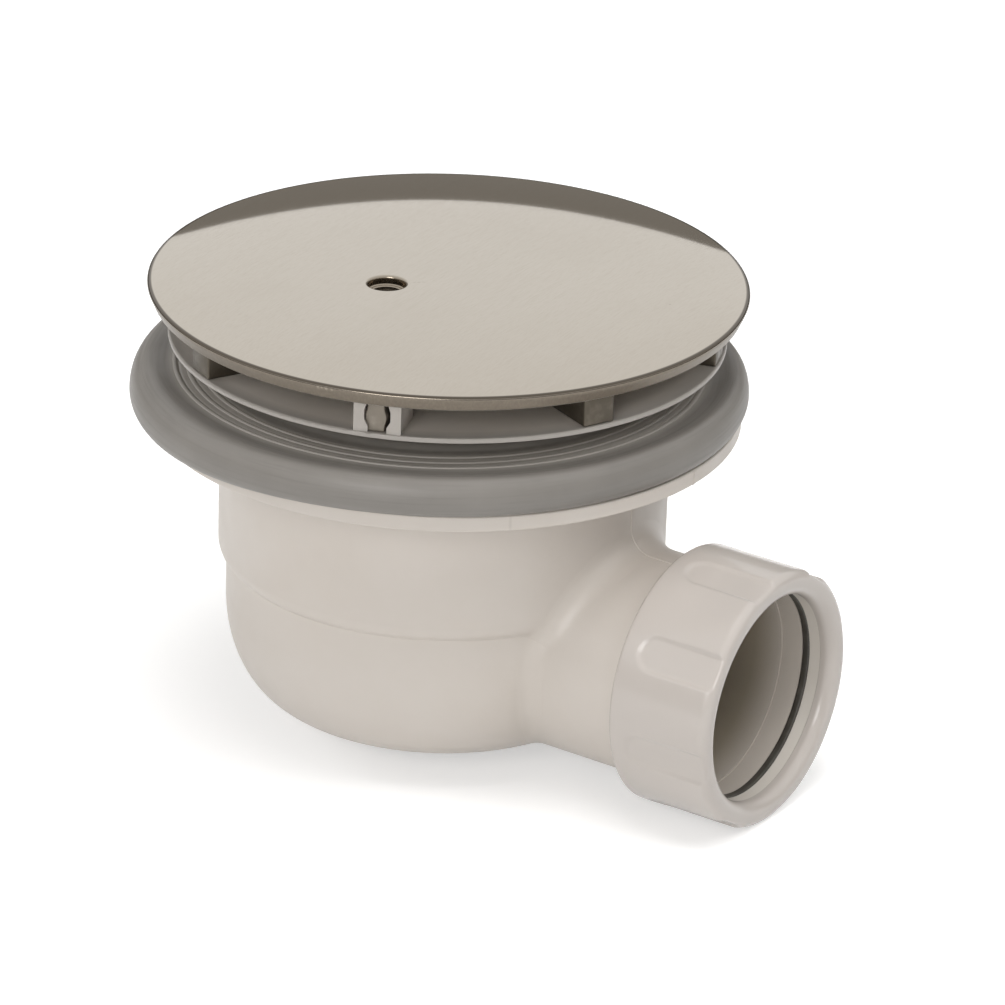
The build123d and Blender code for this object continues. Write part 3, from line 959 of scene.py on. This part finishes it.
tongue_worn = (0.255, 0.228, 0.194)

set_tree, given, result = start_tree(
    "set_round_the_waste", Count="Int", First="Float", Material="Material"
)
set_points = set_tree.nodes.new("GeometryNodePoints")
set_index = set_tree.nodes.new("GeometryNodeInputIndex")
set_step = worked_out(set_tree, "DIVIDE", 2 * math.pi, (given, "Count"))
set_angle = worked_out(
    set_tree, "MULTIPLY_ADD", (set_index, "Index"), set_step, (given, "First")
)
set_rotation = set_tree.nodes.new("ShaderNodeCombineXYZ")
set_place = set_tree.nodes.new("GeometryNodeInstanceOnPoints")
link_nodes(
    set_tree,
    ((given, "Count"), (set_points, "Count")),
    ((set_points, "Points"), (set_place, "Points")),
    ((given, "Geometry"), (set_place, "Instance")),
    (set_angle, (set_rotation, "Z")),
    ((set_rotation, "Vector"), (set_place, "Rotation")),
)
finish_tree(set_tree, (set_place, "Instances"), given, result)


def outline_prism(name, outline, inner, outer, bevel):
    """A prism along +X between two radii, with an outline of (y, z) points and soft edges."""
    mesh = bpy.data.meshes.new(name)
    shape = bmesh.new()
    back = [shape.verts.new((inner, y, z)) for y, z in outline]
    front = [shape.verts.new((outer, y, z)) for y, z in outline]
    shape.faces.new(list(reversed(back)))
    shape.faces.new(front)
    count = len(outline)
    for k in range(count):
        n = (k + 1) % count
        shape.faces.new((back[k], back[n], front[n], front[k]))
    bmesh.ops.recalc_face_normals(shape, faces=shape.faces)
    edges = shape.edges[:]
    bmesh.ops.bevel(shape, geom=edges, offset=bevel, segments=2, profile=0.5, affect="EDGES")
    shape.to_mesh(mesh)
    shape.free()
    return mesh


foot_half = foot_width / 2
foot_outline = [
    (-foot_half, foot_base_z),
    (foot_half, foot_base_z),
    (foot_half, foot_top_z),
    (-foot_half, foot_top_z),
]
foot_inner = support_outer - foot_length
foot_mesh = outline_prism("foot", foot_outline, foot_inner, support_outer, foot_bevel)
tongue_outline = [*tongue_half, *((-y, z) for y, z in reversed(tongue_half))]
tongue_outer = support_outer - tongue_recess
tongue_inner = tongue_outer - tongue_length
tongue_mesh = outline_prism("tongue", tongue_outline, tongue_inner, tongue_outer, tongue_bevel)
foot_finish = cast_metal("cast_feet", foot_metal, foot_worn)
tongue_finish = cast_metal("cast_tongues", tongue_metal, tongue_worn)
casts = [(f"cover_feet_{i}", foot_mesh, t, foot_finish) for i, t in enumerate(foot_turns, start=1)]
for name, mesh, turn, finish in (*casts, ("clip_tongues", tongue_mesh, 0.0, tongue_finish)):
    values = {"Count": 2, "First": math.radians(tongue_angle + turn), "Material": finish}
    piece = keep_as_mesh(name, mesh, set_tree, values)
    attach(piece, "cover")

# THRUST WASHER
# The slippery white plastic ring between the rubber seal and the nut, so that the nut turns
# without dragging the rubber round. The CAD node is kept.
washer_white = (0.690, 0.655, 0.605)
washer_plastic = moulded_plastic(
    "smooth_washer", washer_white, body_warm, bright=0.18, dull=0.26, specks=0.05
)
dress("thrust_washer", washer_plastic)

# OUTLET NUT
# The compression nut that squeezes the seal on to the waste pipe: glossy white moulding with
# eight soft finger scoops, a plain collar behind, a rounded front lip and a thread inside.
nut_white = (0.515, 0.476, 0.445)
nut_warm = (0.492, 0.449, 0.410)
nut_sides = 480
nut_rear_x = 0.0562
nut_front_x = 0.0776
nut_radius = 0.0253
nut_mouth = 0.0204
nut_bore = 0.0223
nut_shoulder_x = 0.0745
nut_front_round = 0.0019
nut_mouth_round = 0.0024
nut_rear_round = 0.0008
nut_rear_chamfer = 0.0005
nut_inner_edge = 0.0001
barrel_steps = 34
bore_steps = 52
nut_thread_depth = 0.00035
nut_thread_fade = 0.0010
nut_thread_start_x = nut_rear_x + 0.0010
nut_thread_end_x = nut_shoulder_x - 0.0005
scoop_count = 8
scoop_first = math.radians(12.5)
scoop_rear_x = 0.0600
scoop_half_width = 0.00335
scoop_edge = 0.00050
scoop_rear_depth = 0.00042
scoop_front_depth = 0.00082
scoop_lip_round = 0.0006


def ease(value, low, high):
    """0 to 1 in a soft step between two values."""
    share = min(1.0, max(0.0, (value - low) / (high - low)))
    return share * share * (3 - 2 * share)


def scooped(radius, x, angle):
    """The nut's radius, with the thread cut in its bore and the finger scoops in its outside."""
    if radius < nut_mouth + nut_mouth_round:
        wave = math.cos(2 * math.pi * ((x - nut_rear_x) / thread_pitch) - angle)
        cut = ease(x, nut_thread_start_x, nut_thread_start_x + nut_thread_fade)
        cut *= 1.0 - ease(x, nut_thread_end_x - nut_thread_fade, nut_thread_end_x)
        return radius + nut_thread_depth * cut * max(0.0, wave)
    pitch = 2 * math.pi / scoop_count
    off = (angle - scoop_first + pitch / 2) % pitch - pitch / 2
    across = abs(off) * nut_radius
    behind = max(0.0, scoop_rear_x + scoop_half_width - x)
    away = math.hypot(across, behind)
    sunk = 1.0 - ease(away, scoop_half_width - scoop_edge, scoop_half_width + scoop_edge)
    if sunk <= 0.0:
        return radius
    along = (x - scoop_rear_x) / (nut_front_x - scoop_rear_x)
    flat = across ** 2 / (2 * nut_radius)
    floor_depth = scoop_rear_depth + (scoop_front_depth - scoop_rear_depth) * along - flat
    floor_radius = nut_radius - sunk * floor_depth
    blend = scoop_lip_round * sunk
    share = min(1.0, max(0.0, 0.5 + (floor_radius - radius) / (2 * blend)))
    return floor_radius * (1 - share) + radius * share - blend * share * (1 - share)


rear_x = nut_rear_x + nut_rear_round
front_x = nut_front_x - nut_front_round
nut_profile = corner_arc((nut_radius - nut_rear_round, rear_x), nut_rear_round, 270, 360, 6)
for i in range(1, barrel_steps):
    nut_profile.append((nut_radius, rear_x + (front_x - rear_x) * i / barrel_steps))
nut_profile += corner_arc((nut_radius - nut_front_round, front_x), nut_front_round, 0, 90, 10)
mouth_centre = (nut_mouth + nut_mouth_round, nut_front_x - nut_mouth_round)
nut_profile += corner_arc(mouth_centre, nut_mouth_round, 90, 180, 12)
bore_front_x = nut_shoulder_x - nut_inner_edge
bore_rear_x = nut_rear_x + nut_rear_chamfer
nut_profile.append((nut_mouth, nut_shoulder_x + nut_inner_edge))
nut_profile.append((nut_mouth + nut_inner_edge, nut_shoulder_x))
nut_profile.append((nut_bore - nut_inner_edge, nut_shoulder_x))
for i in range(bore_steps + 1):
    nut_profile.append((nut_bore, bore_front_x - (bore_front_x - bore_rear_x) * i / bore_steps))
nut_profile.append((nut_bore + nut_rear_chamfer, nut_rear_x))
nut_rings = along_outlet(nut_profile, nut_sides, scooped)
outlet_nut = turned_mesh("outlet_nut_ring", nut_rings)
nut_plastic = moulded_plastic(
    "glossy_white_nut", nut_white, nut_warm, bright=0.13, dull=0.20, specks=0.18
)
outlet_nut.data.materials.append(nut_plastic)
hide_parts("outlet_nut")
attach(outlet_nut, "outlet_nut")

# STUDIO
# A wide pale floor under the lowest point, a white surround, four large soft lamps, and a dark
# band of wall round the set that only reflections see, as in the photograph.
floor_z = cad_box[0][2]
floor_half = 6.0
floor_pale = (0.80, 0.80, 0.80)
floor_lift = 0.44
floor_far = 2.2
wall_warm = (1.0, 0.94, 0.86)
wall_tone = 0.262
wall_distance = 0.90
wall_rise = math.radians(15.4)
wall_base_z = 0.015
wall_sides = 128
surround_light = 0.24
lamp_white = (1.0, 0.990, 0.975)
soft_lamps = (
    ("front_lamp", -74.0, 22.0, 2.5, 1.45, 26.0),
    ("left_lamp", -158.0, 28.0, 2.0, 0.9, 7.5),
    ("right_lamp", 15.0, 50.0, 2.0, 1.2, 12.0),
    ("top_lamp", -60.0, 80.0, 2.0, 1.2, 20.0),
)


def seen_rays(tree):
    """1 for rays from the camera and those that reflections and clear pieces send on, else 0."""
    path = tree.nodes.new("ShaderNodeLightPath")
    seen = worked_out(tree, "MAXIMUM", (path, "Is Camera Ray"), (path, "Is Glossy Ray"))
    return worked_out(tree, "MAXIMUM", seen, (path, "Is Transmission Ray"))


floor_corners = [
    (-floor_half, -floor_half, floor_z),
    (floor_half, -floor_half, floor_z),
    (floor_half, floor_half, floor_z),
    (-floor_half, floor_half, floor_z),
]
floor_mesh = bpy.data.meshes.new("floor")
floor_mesh.from_pydata(floor_corners, [], [(0, 1, 2, 3)])
floor = put_in_scene("floor", floor_mesh)
floor_finish, tree = bare_finish("pale_floor")
matt = tree.nodes.new("ShaderNodeBsdfDiffuse")
matt.inputs["Color"].default_value = (*floor_pale, 1.0)
glow = tree.nodes.new("ShaderNodeEmission")
both = tree.nodes.new("ShaderNodeAddShader")
end = tree.nodes.new("ShaderNodeOutputMaterial")
place = tree.nodes.new("ShaderNodeTexCoord")
away = worked_out(tree, "LENGTH", (place, "Object"))
lift = span(tree, away, (wall_distance, floor_far * wall_distance), (floor_lift, 1.0))
link_nodes(
    tree,
    (worked_out(tree, "MULTIPLY", lift, seen_rays(tree)), (glow, "Strength")),
    ((matt, "BSDF"), (both, 0)),
    ((glow, "Emission"), (both, 1)),
    ((both, "Shader"), (end, "Surface")),
)
floor.data.materials.append(floor_finish)

wall_points = []
for z in (floor_z, wall_base_z + wall_distance * math.tan(wall_rise)):
    for k in range(wall_sides):
        turn = 2 * math.pi * k / wall_sides
        wall_points.append((wall_distance * math.cos(turn), wall_distance * math.sin(turn), z))
wall_faces = []
for k in range(wall_sides):
    n = (k + 1) % wall_sides
    wall_faces.append((k, n, wall_sides + n, wall_sides + k))
wall_mesh = bpy.data.meshes.new("dark_wall")
wall_mesh.from_pydata(wall_points, [], wall_faces)
wall = put_in_scene("dark_wall", wall_mesh)
wall_finish, tree = bare_finish("dark_wall_paint")
paint = tree.nodes.new("ShaderNodeEmission")
paint.inputs["Color"].default_value = (*toned(wall_warm, wall_tone), 1.0)
end = tree.nodes.new("ShaderNodeOutputMaterial")
link_nodes(tree, ((paint, "Emission"), (end, "Surface")))
wall.data.materials.append(wall_finish)
wall.visible_camera = False
wall.visible_diffuse = False
wall.visible_shadow = False
wall.visible_transmission = False

surround = bpy.data.worlds.new("white_surround")
scene.world = surround
surround.use_nodes = True
tree = surround.node_tree
sky = tree.nodes["Background"]
sky.inputs["Color"].default_value = (1.0, 1.0, 1.0, 1.0)
shown = span(tree, seen_rays(tree), (0.0, 1.0), (surround_light, 1.0))
link_nodes(tree, (shown, (sky, "Strength")))

for name, azimuth, elevation, distance, size, energy in soft_lamps:
    lamp = bpy.data.lights.new(name, "AREA")
    lamp.shape = "DISK"
    lamp.size = size
    lamp.energy = energy
    lamp.color = lamp_white
    holder = put_in_scene(name, lamp)
    holder.visible_glossy = name == "front_lamp"
    tilt = math.radians(elevation)
    round_z = Matrix.Rotation(math.radians(azimuth), 3, "Z")
    towards = round_z @ Vector((math.cos(tilt), 0.0, math.sin(tilt)))
    holder.location = distance * towards
    holder.rotation_euler = (-towards).to_track_quat("-Z", "Y").to_euler()

# CAMERA
# Placed where the photograph was taken from: in front and to the right, looking down about 24
# degrees, and rolled by the small tilt that the photograph's frame has.
looked_at = Vector((0.00955, 0.00651, -0.03122))
stands_at = Vector((0.56957, -0.82691, 0.41795))
roll = math.radians(1.862)
lens = bpy.data.cameras.new("photo_camera")
lens.lens = 203.06
lens.sensor_width = 36.0
lens.clip_end = 100.0
camera = put_in_scene("photo_camera", lens)
back = (stands_at - looked_at).normalized()
level = Vector((0, 0, 1)).cross(back).normalized()
right = math.cos(roll) * level + math.sin(roll) * back.cross(level)
up = back.cross(right)
camera.matrix_world = Matrix(
    (
        (right.x, up.x, back.x, stands_at.x),
        (right.y, up.y, back.y, stands_at.y),
        (right.z, up.z, back.z, stands_at.z),
        (0, 0, 0, 1),
    )
)
scene.camera = camera
